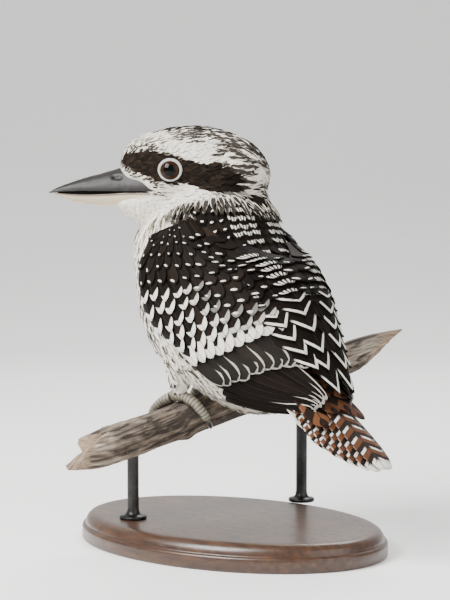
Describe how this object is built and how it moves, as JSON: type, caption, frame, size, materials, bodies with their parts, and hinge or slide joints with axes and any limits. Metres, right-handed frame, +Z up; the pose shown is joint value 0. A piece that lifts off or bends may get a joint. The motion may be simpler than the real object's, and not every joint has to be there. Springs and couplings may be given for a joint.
{
  "type": "kookaburra model",
  "caption": "Life-size laughing kookaburra model perched on a cut branch above an oval base, wings folded and head turned to look over its left shoulder.",
  "frame": {"origin": "middle of the oval base's underside", "axes": "+Z up; the bird's body points along -X, its left side is -Y, and its head is turned 40 degrees to its left"},
  "size_m": [0.2469, 0.2558, 0.2894],
  "materials": {
    "white_plumage": "soft, matt",
    "brown_plumage": "soft, matt",
    "tail_plumage": "soft, matt",
    "dark_horn": "smooth, low sheen",
    "pale_horn": "smooth, low sheen",
    "eye": "clear, glossy",
    "scaled_skin": "scaled, dry",
    "bark": "rough bark",
    "stained_wood": "dark stained, satin",
    "dark_steel": "dark, satin"
  },
  "bodies": {
    "root": {"head": "white_plumage", "bill_upper": "dark_horn", "bill_lower": "pale_horn", "eye_left": "eye", "eye_right": "eye", "neck": "white_plumage", "torso": "white_plumage", "tail": "tail_plumage", "wing_left": "brown_plumage", "wing_right": "brown_plumage", "foot_left": "scaled_skin", "claw_left_inner": "dark_horn", "claw_left_middle": "dark_horn", "claw_left_outer": "dark_horn", "claw_left_hind": "dark_horn", "foot_right": "scaled_skin", "claw_right_inner": "dark_horn", "claw_right_middle": "dark_horn", "claw_right_outer": "dark_horn", "claw_right_hind": "dark_horn", "perch_branch": "bark", "stand_base": "stained_wood", "stand_rod_left": "dark_steel", "stand_rod_right": "dark_steel"}
  },
  "joints": []
}
